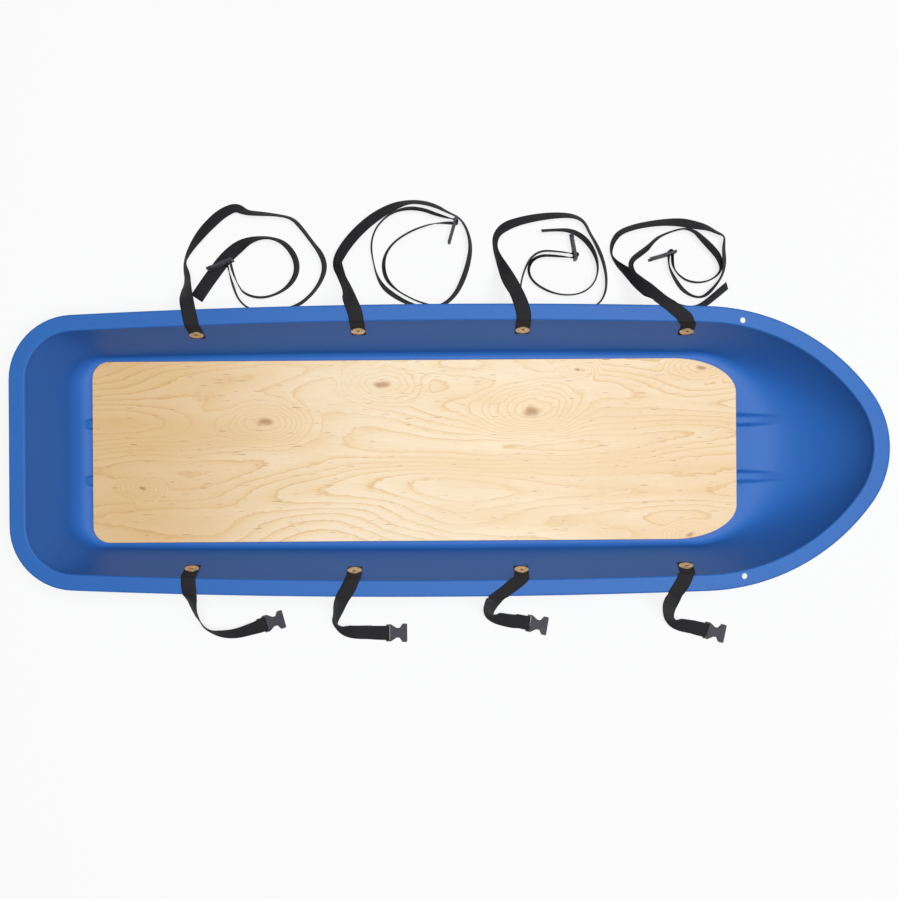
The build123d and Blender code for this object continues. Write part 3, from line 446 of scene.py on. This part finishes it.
def runner_height(x, lift):
    """Height of a runner's bottom at x: level, then bent up at both ends."""
    for end, away, radius, rise in (
        (RUNNER_REAR, -1, RUNNER_REAR_RADIUS - lift, RUNNER_REAR_RISE),
        (RUNNER_FRONT, 1, RUNNER_FRONT_RADIUS - lift, RUNNER_FRONT_RISE),
    ):
        past = (x - end) * away
        if past > 0:
            bent = radius * sin(radians(rise))
            if past <= bent:
                return lift + radius - sqrt(radius ** 2 - past ** 2)
            if past > bent + RUNNER_RAMP:
                return HEIGHT
            return lift + radius * (1 - cos(radians(rise))) + (past - bent) * tan(radians(rise))
    return lift


def pressed(x, y, z, lift, soft):
    """Height of the sheet's face after the runners are pressed down into it, with soft edges."""
    flank = radians(RUNNER_FLANK)
    half = RUNNER_HALF_WIDTH + (SHEET - lift) * (1 / cos(flank) - tan(flank))
    channel = runner_height(x, lift) + max(0, abs(abs(y) - RUNNER_MIDDLE) - half) / tan(flank)
    if abs(channel - z) > 12 * soft:  # too far apart to soften each other
        return min(channel, z)
    return -soft * log(exp(-channel / soft) + exp(-z / soft))


def make_tub():
    """The tub's sheet: floor, walls, rounded rim, turned-down lip, and the outside under them."""
    rings = []  # port halves, with their height and which face of the sheet they are on
    for level in INNER_LEVELS:
        rings.append((plan_half(*tub_plan(level, 0)), floor_z + level, SHEET))
    tub_top = INNER_LEVELS[-1]
    for turn in INNER_ROUND_TURNS:
        grown = RIM_INNER_ROUND * (1 - cos(radians(turn)))
        rise = RIM_INNER_ROUND * sin(radians(turn))
        rings.append((plan_half(*tub_plan(tub_top, 0, grown)), floor_z + tub_top + rise, None))
    inner, outer = rings[-1][0], plan_half(*rim_plan(RIM_OUTER_ROUND))
    for share in FLANGE_SHARES:
        between = [
            (a[0] + share * (b[0] - a[0]), a[1] + share * (b[1] - a[1])) for a, b in zip(inner, outer)
        ]
        rings.append((between, HEIGHT, None))
    for turn in OUTER_ROUND_TURNS:
        inset = RIM_OUTER_ROUND * (1 - sin(radians(turn)))
        drop = RIM_OUTER_ROUND * (1 - cos(radians(turn)))
        rings.append((plan_half(*rim_plan(inset)), HEIGHT - drop, None))
    # Down the lip, round its lower edge, up its inner face and in under the flange
    lip_z = HEIGHT - SHEET - LIP_DEPTH
    corner = 0.3 * LIP_ROUND
    for inset, height in (
        (0, lip_z + 6), (0, lip_z + LIP_ROUND), (corner, lip_z + corner), (LIP_ROUND, lip_z),
        (SHEET - LIP_ROUND, lip_z), (SHEET - corner, lip_z + corner), (SHEET, lip_z + LIP_ROUND),
        (SHEET, lip_z + 7), (SHEET, HEIGHT - SHEET - 0.8), (SHEET + 0.8, HEIGHT - SHEET),
    ):
        rings.append((plan_half(*rim_plan(inset)), height, None))
    for level in reversed(OUTER_LEVELS):
        rings.append((plan_half(*tub_plan(level, SHEET)), floor_z + level, 0))

    tub = bmesh.new()
    lines = []
    for half, height, lift in rings:
        full = half + [(x, -y) for x, y in half[-2:0:-1]]
        line = []
        for x, y in full:
            z = height if lift is None else pressed(x, y, height, lift, RUNNER_SOFTNESS)
            line.append(tub.verts.new((x * MM, y * MM, z * MM)))
        lines.append(line)
    count = len(lines[0])
    for lower, upper in zip(lines, lines[1:]):
        for spot in range(count):
            other = (spot + 1) % count
            tub.faces.new((lower[spot], lower[other], upper[other], upper[spot]))
    # The floor's two faces, as columns of quads between the port and the starboard edge
    across = len(RUNNER_ROWS) + OUTER_ROWS
    for line, (half, height, lift) in ((lines[0], rings[0]), (lines[-1], rings[-1])):
        columns = [[line[-row % count] for row in range(across - 1, 0, -1)] + line[:across]]
        for spot in range(across, len(half) - 1):
            x, half_width = half[spot]
            rows = rows_across(half_width)[:-1]
            places = [-row for row in reversed(rows[1:])] + rows
            column = [line[count - spot]]
            for y in places:
                z = pressed(x, y, height, lift, RUNNER_SOFTNESS)
                column.append(tub.verts.new((x * MM, y * MM, z * MM)))
            columns.append(column + [line[spot]])
        for near, far in zip(columns, columns[1:]):
            for row in range(len(near) - 1):
                tub.faces.new((near[row], near[row + 1], far[row + 1], far[row]))
        tip = line[len(half) - 1]
        for low, high in zip(columns[-1], columns[-1][1:]):
            tub.faces.new((low, high, tip))
    bmesh.ops.recalc_face_normals(tub, faces=tub.faces)
    for face in tub.faces:
        face.smooth = True
    mesh = bpy.data.meshes.new("moulded_tub")
    tub.to_mesh(mesh)
    tub.free()
    piece = bpy.data.objects.new("moulded_tub", mesh)
    scene.collection.objects.link(piece)
    return piece


def drill(piece, places, diameter, depth):
    """Holes straight down through a piece, cut and applied."""
    drills = bmesh.new()
    for x, y, z in places:
        bored = bmesh.ops.create_cone(
            drills, cap_ends=True, segments=40, radius1=diameter / 2 * MM, radius2=diameter / 2 * MM,
            depth=depth * MM,
        )
        bmesh.ops.translate(drills, verts=bored["verts"], vec=Vector((x, y, z)) * MM)
    mesh = bpy.data.meshes.new("drills")
    drills.to_mesh(mesh)
    drills.free()
    cutter = bpy.data.objects.new("drills", mesh)
    scene.collection.objects.link(cutter)
    cut = piece.modifiers.new("holes", "BOOLEAN")
    cut.object = cutter
    cut.solver = "EXACT"
    bpy.context.view_layer.update()
    drilled = bpy.data.meshes.new_from_object(piece.evaluated_get(bpy.context.evaluated_depsgraph_get()))
    piece.modifiers.clear()
    piece.data = drilled
    bpy.data.objects.remove(cutter)
    drilled.set_sharp_from_angle(angle=radians(SHARP_ANGLE))


moulded_tub = make_tub()
tow_holes = [(TOW_HOLE[0], side * TOW_HOLE[1], HEIGHT - SHEET / 2) for side in (1, -1)]
drill(moulded_tub, tow_holes, TOW_HOLE_DIAMETER, TOW_HOLE_REACH)
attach(moulded_tub, "tub")
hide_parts("hull")

# Deck: the frame's board, with its edges eased in mm
DECK_EASE = 1.4


def ease_edges(piece, radius):
    """A copy of a CAD piece whose sharp edges are rounded off by sanding."""
    eased = bmesh.new()
    eased.from_mesh(piece.data)
    bmesh.ops.remove_doubles(eased, verts=eased.verts, dist=0.00001)
    bmesh.ops.dissolve_limit(eased, angle_limit=radians(1), verts=eased.verts, edges=eased.edges)
    sharp = [edge for edge in eased.edges if edge.is_manifold and edge.calc_face_angle() > radians(SHARP_ANGLE)]
    bmesh.ops.bevel(eased, geom=sharp, offset=radius * MM, segments=3, profile=0.5, affect="EDGES")
    mesh = bpy.data.meshes.new(piece.name + "_eased")
    eased.to_mesh(mesh)
    eased.free()
    mesh.transform(piece.matrix_world)
    copy = bpy.data.objects.new(piece.name + "_eased", mesh)
    scene.collection.objects.link(copy)
    return copy


plywood = ease_edges(bpy.data.objects["deck"], DECK_EASE)
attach(plywood, "deck")
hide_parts("deck")

# Finishes


def linear(colour):
    """An sRGB hex colour as a linear one."""
    parts = [int(colour[place:place + 2], 16) / 255 for place in (1, 3, 5)]
    return tuple(part / 12.92 if part <= 0.04045 else ((part + 0.055) / 1.055) ** 2.4 for part in parts) + (1,)


def add(finish, kind, settings=None, links=None):
    """Adds a node to a finish, with its settings and what feeds it."""
    node = finish.node_tree.nodes.new(kind)
    for name, value in (settings or {}).items():
        if isinstance(name, int) or name in node.inputs:
            node.inputs[name].default_value = value
        else:
            setattr(node, name, value)
    for name, source in (links or {}).items():
        finish.node_tree.links.new(source, node.inputs[name])
    return node


def new_finish(name):
    """An empty material."""
    finish = bpy.data.materials.new(name)
    finish.use_nodes = True
    finish.node_tree.nodes.clear()
    return finish


def show(finish, shader):
    """Gives a finish its shader."""
    add(finish, "ShaderNodeOutputMaterial", links={"Surface": shader.outputs[0]})
    return finish


def blend(finish, share, first, second, how="MIX"):
    """Mixes two colours by a share, each a colour or a node's output."""
    settings = {"data_type": "RGBA", "blend_type": how}
    links = {0: share}
    for place, colour in ((6, first), (7, second)):
        if isinstance(colour, tuple):
            settings[place] = colour
        else:
            links[place] = colour
    return add(finish, "ShaderNodeMix", settings, links).outputs[2]


def calculate(finish, operation, *terms):
    """The result of one operation on numbers and nodes' outputs."""
    numbers = {place: term for place, term in enumerate(terms) if isinstance(term, (int, float))}
    outputs = {place: term for place, term in enumerate(terms) if place not in numbers}
    return add(finish, "ShaderNodeMath", {"operation": operation, **numbers}, outputs).outputs[0]


def spread(finish, value, low, high, least=0, most=1, how="LINEAR"):
    """A value's run from low to high, drawn out to run from least to most."""
    settings = {"interpolation_type": how, "From Min": low, "From Max": high, "To Min": least, "To Max": most}
    return add(finish, "ShaderNodeMapRange", settings, {"Value": value}).outputs[0]


def drawn_noise(finish, place, along, across, detail):
    """Noise with so many grains to the metre along the wood's grain and across it."""
    drawn = add(finish, "ShaderNodeMapping", {"Scale": (along, across, 1)}, {"Vector": place}).outputs[0]
    return add(finish, "ShaderNodeTexNoise", {"Scale": 1, "Detail": detail}, {"Vector": drawn}).outputs["Fac"]


def make_polyethylene():
    """High-density polyethylene, vacuum formed: satin, faintly mottled, with a fine orange peel."""
    finish = new_finish("formed_blue_polyethylene")
    place = add(finish, "ShaderNodeTexCoord").outputs["Object"]
    # Broad clouds of slightly paler pigment, 200 mm across
    clouds = add(finish, "ShaderNodeTexNoise", {"Scale": 5, "Detail": 3}, {"Vector": place})
    colour = blend(finish, clouds.outputs["Fac"], linear("#2B66B6"), linear("#316EBD"))
    # Orange peel of 2 mm grains, drawn at 4 mm so that it shows
    peel = add(finish, "ShaderNodeTexNoise", {"Scale": 250, "Detail": 2}, {"Vector": place})
    bump = add(finish, "ShaderNodeBump", {"Strength": 0.12, "Distance": 0.0006}, {"Height": peel.outputs["Fac"]})
    rough = spread(finish, clouds.outputs["Fac"], 0, 1, 0.46, 0.56)
    shader = add(
        finish, "ShaderNodeBsdfPrincipled", {"IOR": 1.51, "Specular IOR Level": 0.2},
        {"Base Color": colour, "Roughness": rough, "Normal": bump.outputs[0]},
    )
    return show(finish, shader)


# Knots in the deck's veneer: x, y and reach in mm
KNOTS = [
    (-122, 122, 30), (-340, 54, 34), (233, 147, 16), (150, 68, 40), (463, 150, 24), (440, -156, 18),
    (-568, -66, 16),
]
# The grain round the knots is stirred by so much at most, in mm, and by half of it on average
STIR = (50, 30)
DECK_TOP = 18
# The wood's rings are contour lines of a height map, so many to each unit of height
RINGS = 22
# Colours through one ring: pale early wood that deepens to a thin tan line of late wood
RING_COLOURS = ((0.5, "#FAE4C0"), (0.8, "#F5DAAE"), (0.92, "#E4BC82"), (0.96, "#F3D8AB"))
PLY_PAIRS_TO_THE_METRE = 416


def veneer_figure(finish, place):
    """The height map of the veneer's figure, and the share of each place that is a knot's dark eye."""
    wobble = add(finish, "ShaderNodeTexNoise", {"Scale": 3.2, "Detail": 2}, {"Vector": place})
    drawn = add(finish, "ShaderNodeMapping", {"Scale": (1.5, 7.5, 1)}, {"Vector": place}).outputs[0]
    bent = add(
        finish, "ShaderNodeMix", {"data_type": "VECTOR", 0: 0.16}, {4: drawn, 5: wobble.outputs["Color"]},
    )
    rise = add(
        finish, "ShaderNodeTexNoise", {"Scale": 1.3, "Detail": 1, "Roughness": 0.35},
        {"Vector": bent.outputs[1]},
    ).outputs["Fac"]
    # Late wood has ragged edges, with small teeth
    teeth = drawn_noise(finish, place, 45, 130, 2)
    rise = calculate(finish, "MULTIPLY_ADD", teeth, 0.02, rise)
    stir = add(finish, "ShaderNodeTexNoise", {"Scale": 14, "Detail": 3}, {"Vector": place})
    stirred = add(
        finish, "ShaderNodeVectorMath", {"operation": "MULTIPLY_ADD", 1: (STIR[0] * MM, STIR[1] * MM, 0)},
        {0: stir.outputs["Color"], 2: place},
    ).outputs[0]
    eyes = None
    for x, y, reach in KNOTS:
        middle = ((x + STIR[0] / 2) * MM, (y + STIR[1] / 2) * MM, DECK_TOP * MM)
        shift = add(finish, "ShaderNodeVectorMath", {"operation": "SUBTRACT", 1: middle}, {0: stirred})
        squeezed = add(
            finish, "ShaderNodeVectorMath",
            {"operation": "MULTIPLY", 1: (0.5 / (reach * MM), 1 / (reach * MM), 0)}, {0: shift.outputs[0]},
        )
        away = add(
            finish, "ShaderNodeVectorMath", {"operation": "LENGTH"}, {0: squeezed.outputs[0]},
        ).outputs["Value"]
        # The rings run round a hump at each knot, the higher the larger the knot
        hump = spread(finish, away, 0, 1.7, 0.2 + reach / 300, 0, "SMOOTHSTEP")
        eye = spread(finish, away, 0.05, 0.3, 1, 0, "SMOOTHSTEP")
        rise = calculate(finish, "ADD", rise, hump)
        eyes = eye if eyes is None else calculate(finish, "MAXIMUM", eyes, eye)
    return rise, eyes


def veneer_rings(finish, place, rise):
    """The colour of the wood's rings, some of which hardly show."""
    ring = calculate(finish, "FRACT", calculate(finish, "MULTIPLY", rise, RINGS))
    tint = add(finish, "ShaderNodeValToRGB", links={"Fac": ring})
    ramp = tint.color_ramp
    ramp.elements[0].color = linear("#FCE8C9")
    ramp.elements[1].color = linear("#FBE6C5")
    for spot, colour in RING_COLOURS:
        ramp.elements.new(spot).color = linear(colour)
    strength = add(finish, "ShaderNodeTexNoise", {"Scale": 5, "Detail": 2}, {"Vector": place})
    faint = spread(finish, strength.outputs["Fac"], 0.35, 0.7, 0, 0.75)
    return blend(finish, faint, tint.outputs["Color"], linear("#F8E1BC"))


def sawn_plies(finish, place, colour):
    """The veneer's colour on the faces, and five plies of 1.2 mm on the sawn edge."""
    height = add(finish, "ShaderNodeSeparateXYZ", links={"Vector": place}).outputs["Z"]
    layers = calculate(finish, "FRACT", calculate(finish, "MULTIPLY", height, PLY_PAIRS_TO_THE_METRE))
    edge = blend(finish, spread(finish, layers, 0.45, 0.55), linear("#B9705A"), linear("#8C4A3A"))
    normal = add(finish, "ShaderNodeNewGeometry").outputs["Normal"]
    facing = add(finish, "ShaderNodeSeparateXYZ", links={"Vector": normal}).outputs["Z"]
    on_face = spread(finish, calculate(finish, "ABSOLUTE", facing), 0.75, 0.97)
    return blend(finish, on_face, edge, colour)


def make_birch_veneer():
    """Rotary-cut birch plywood, sanded: cream, with cathedral figure, knots and thin dark flecks."""
    finish = new_finish("rotary_cut_birch_plywood")
    place = add(finish, "ShaderNodeTexCoord").outputs["Object"]
    rise, eyes = veneer_figure(finish, place)
    colour = veneer_rings(finish, place, rise)
    # Broad honey and pale bands along the grain
    bands = drawn_noise(finish, place, 2.2, 16, 3)
    colour = blend(finish, spread(finish, bands, 0.42, 0.72, 0, 0.6), colour, linear("#EFCE97"))
    # Darker and more golden towards the stern end and, fainter, towards the bow: partly the veneer's own tone
    # there, partly painted shade of the light falling off towards the ends
    along = add(finish, "ShaderNodeSeparateXYZ", links={"Vector": place}).outputs["X"]
    stern_shade_and_tone = spread(finish, along, -0.66, -0.1, 1, 0, "SMOOTHSTEP")
    bow_shade_and_tone = spread(finish, along, 0.05, 0.5, 0, 0.4, "SMOOTHSTEP")
    end_shade_and_tone = calculate(finish, "MAXIMUM", stern_shade_and_tone, bow_shade_and_tone)
    colour = blend(finish, end_shade_and_tone, colour, linear("#E8D5B5"), "MULTIPLY")
    # Fibres 0.3 mm wide, drawn at 1.4 mm so that they show
    fibres = drawn_noise(finish, place, 22, 700, 2)
    colour = blend(finish, spread(finish, fibres, 0.4, 0.7, 0, 0.26), colour, linear("#E6C08A"))
    # Short dark flecks along the grain, 10 to 20 mm long
    flecks = drawn_noise(finish, place, 30, 520, 1)
    colour = blend(finish, spread(finish, flecks, 0.7, 0.76, 0, 0.8), colour, linear("#8A5D3C"))
    colour = blend(finish, calculate(finish, "MULTIPLY", eyes, 0.75), colour, linear("#A87445"))
    colour = sawn_plies(finish, place, colour)
    bump = add(finish, "ShaderNodeBump", {"Strength": 0.15, "Distance": 0.0003}, {"Height": fibres})
    shader = add(
        finish, "ShaderNodeBsdfPrincipled", {"Roughness": 0.55, "IOR": 1.5},
        {"Base Color": colour, "Normal": bump.outputs[0]},
    )
    return show(finish, shader)


def make_polypropylene_webbing():
    """Woven polypropylene webbing: matt black, ribs across it and a tight edge."""
    finish = new_finish("woven_black_polypropylene")
    place = add(finish, "ShaderNodeUVMap", {"uv_map": "along"}).outputs[0]
    # Ribs 1.1 mm apart, drawn at 2.2 mm so that they show
    ribs = add(
        finish, "ShaderNodeTexWave", {"bands_direction": "X", "Scale": 143, "Distortion": 0.6, "Detail": 1},
        {"Vector": place},
    )
    threads = add(
        finish, "ShaderNodeTexWave", {"bands_direction": "Y", "Scale": 190, "Distortion": 0.4, "Detail": 1},
        {"Vector": place},
    )
    weave = calculate(finish, "MULTIPLY", ribs.outputs["Fac"], threads.outputs["Fac"])
    colour = blend(finish, weave, linear("#1C1C1E"), linear("#333236"))
    bump = add(finish, "ShaderNodeBump", {"Strength": 0.6, "Distance": 0.0004}, {"Height": weave})
    shader = add(
        finish, "ShaderNodeBsdfPrincipled", {"Roughness": 0.8, "IOR": 1.49, "Specular IOR Level": 0.3},
        {"Base Color": colour, "Normal": bump.outputs[0]},
    )
    return show(finish, shader)


def make_acetal():
    """Injection-moulded acetal: dark grey, semi-matt from a fine spark-eroded mould."""
    finish = new_finish("moulded_grey_acetal")
    place = add(finish, "ShaderNodeTexCoord").outputs["Object"]
    grain = add(finish, "ShaderNodeTexNoise", {"Scale": 900, "Detail": 2}, {"Vector": place})
    wear = add(finish, "ShaderNodeTexNoise", {"Scale": 120, "Detail": 3}, {"Vector": place})
    colour = blend(finish, wear.outputs["Fac"], linear("#35343B"), linear("#48464E"))
    bump = add(finish, "ShaderNodeBump", {"Strength": 0.15, "Distance": 0.0002}, {"Height": grain.outputs["Fac"]})
    shader = add(
        finish, "ShaderNodeBsdfPrincipled", {"Roughness": 0.5, "IOR": 1.48, "Specular IOR Level": 0.2},
        {"Base Color": colour, "Normal": bump.outputs[0]},
    )
    return show(finish, shader)


def make_brass(name, pale, dull, roughness):
    """Stamped brass gone dull: warm metal, mottled by tarnish."""
    finish = new_finish(name)
    place = add(finish, "ShaderNodeTexCoord").outputs["Object"]
    tarnish = add(finish, "ShaderNodeTexNoise", {"Scale": 180, "Detail": 5, "Roughness": 0.65}, {"Vector": place})
    share = spread(finish, tarnish.outputs["Fac"], 0.35, 0.65)
    colour = blend(finish, share, linear(pale), linear(dull))
    bump = add(finish, "ShaderNodeBump", {"Strength": 0.2, "Distance": 0.0003}, {"Height": tarnish.outputs["Fac"]})
    shader = add(
        finish, "ShaderNodeBsdfPrincipled", {"Metallic": 1, "Roughness": roughness},
        {"Base Color": colour, "Normal": bump.outputs[0]},
    )
    return show(finish, shader)


def dress(piece, finish):
    """Gives a piece its one finish."""
    piece.data.materials.clear()
    piece.data.materials.append(finish)


dress(moulded_tub, make_polyethylene())
dress(plywood, make_birch_veneer())
webbing = make_polypropylene_webbing()
for strap in straps:
    dress(strap, webbing)
acetal = make_acetal()
# The frame's own pieces, by the first word of their names
CAD_FINISHES = (
    ("washer", make_brass("stamped_brass_washer", "#EEDCC2", "#C2A57F", 0.5)),
    ("rivet", make_brass("domed_brass_rivet", "#F6E8D2", "#D6BA94", 0.34)),
    ("female_buckle", acetal),
    ("male_buckle", acetal),
)
for piece in list(scene.objects):
    for word, finish in CAD_FINISHES:
        if piece.type == "MESH" and piece.name.startswith(word + "_"):
            for slot in piece.material_slots:
                slot.material = finish

# Floor, light and background: the floor is lit as matt paper, and mostly seen as plain white
FLOOR_HALF_SIZE = 6
FLOOR_DROP = 0.0004
WHITE_SHARE = 0.8
floor_mesh = bmesh.new()
bmesh.ops.create_grid(floor_mesh, x_segments=1, y_segments=1, size=FLOOR_HALF_SIZE)
mesh = bpy.data.meshes.new("pale_floor")
floor_mesh.to_mesh(mesh)
floor_mesh.free()
pale_floor = bpy.data.objects.new("pale_floor", mesh)
pale_floor.location.z = -FLOOR_DROP
scene.collection.objects.link(pale_floor)
paper = new_finish("white_paper_floor")
seen = add(paper, "ShaderNodeLightPath")
straight = calculate(paper, "MAXIMUM", seen.outputs["Is Camera Ray"], seen.outputs["Is Glossy Ray"])
any_view = calculate(paper, "MAXIMUM", straight, seen.outputs["Is Transmission Ray"])
share = calculate(paper, "MULTIPLY", any_view, WHITE_SHARE)
matt = add(paper, "ShaderNodeBsdfDiffuse", {"Color": linear("#F0F0F0")})
glow = add(paper, "ShaderNodeEmission", {"Color": (1, 1, 1, 1), "Strength": 1.0})
lit = add(paper, "ShaderNodeMixShader", links={0: share, 1: matt.outputs[0], 2: glow.outputs[0]})
show(paper, lit)
dress(pale_floor, paper)

world = bpy.data.worlds.new("white_room")
world.use_nodes = True
world.node_tree.nodes.clear()
path_kind = add(world, "ShaderNodeLightPath")
seen_sky = calculate(
    world, "MAXIMUM", path_kind.outputs["Is Camera Ray"], path_kind.outputs["Is Transmission Ray"],
)
room = add(world, "ShaderNodeBackground", {"Color": linear("#EEF2FA"), "Strength": 0.07})
backdrop = add(world, "ShaderNodeBackground", {"Color": (1, 1, 1, 1), "Strength": 1.0})
both = add(world, "ShaderNodeMixShader", links={0: seen_sky, 1: room.outputs[0], 2: backdrop.outputs[0]})
add(world, "ShaderNodeOutputWorld", links={"Surface": both.outputs[0]})
scene.world = world

# One large soft lamp high above the bow, and a long faint strip on either side: place, size and watts
LAMPS = [
    ("overhead", (1.0, 0.05, 6.2), (3.0, 3.0), 385),
    ("strip_port", (0, 2.5, 1.6), (3.4, 0.5), 1.5),
    ("strip_starboard", (0, -2.5, 1.6), (3.4, 0.5), 1.5),
]
for name, place, size, power in LAMPS:
    lamp = bpy.data.objects.new(name, bpy.data.lights.new(name, "AREA"))
    lamp.data.shape = "ELLIPSE" if name == "overhead" else "RECTANGLE"
    lamp.data.size, lamp.data.size_y = size
    lamp.data.energy = power
    lamp.location = place
    if name != "overhead":
        lamp.rotation_euler = (-Vector(place)).to_track_quat("-Z", "Y").to_euler()
    scene.collection.objects.link(lamp)

scene.view_settings.view_transform = "Standard"
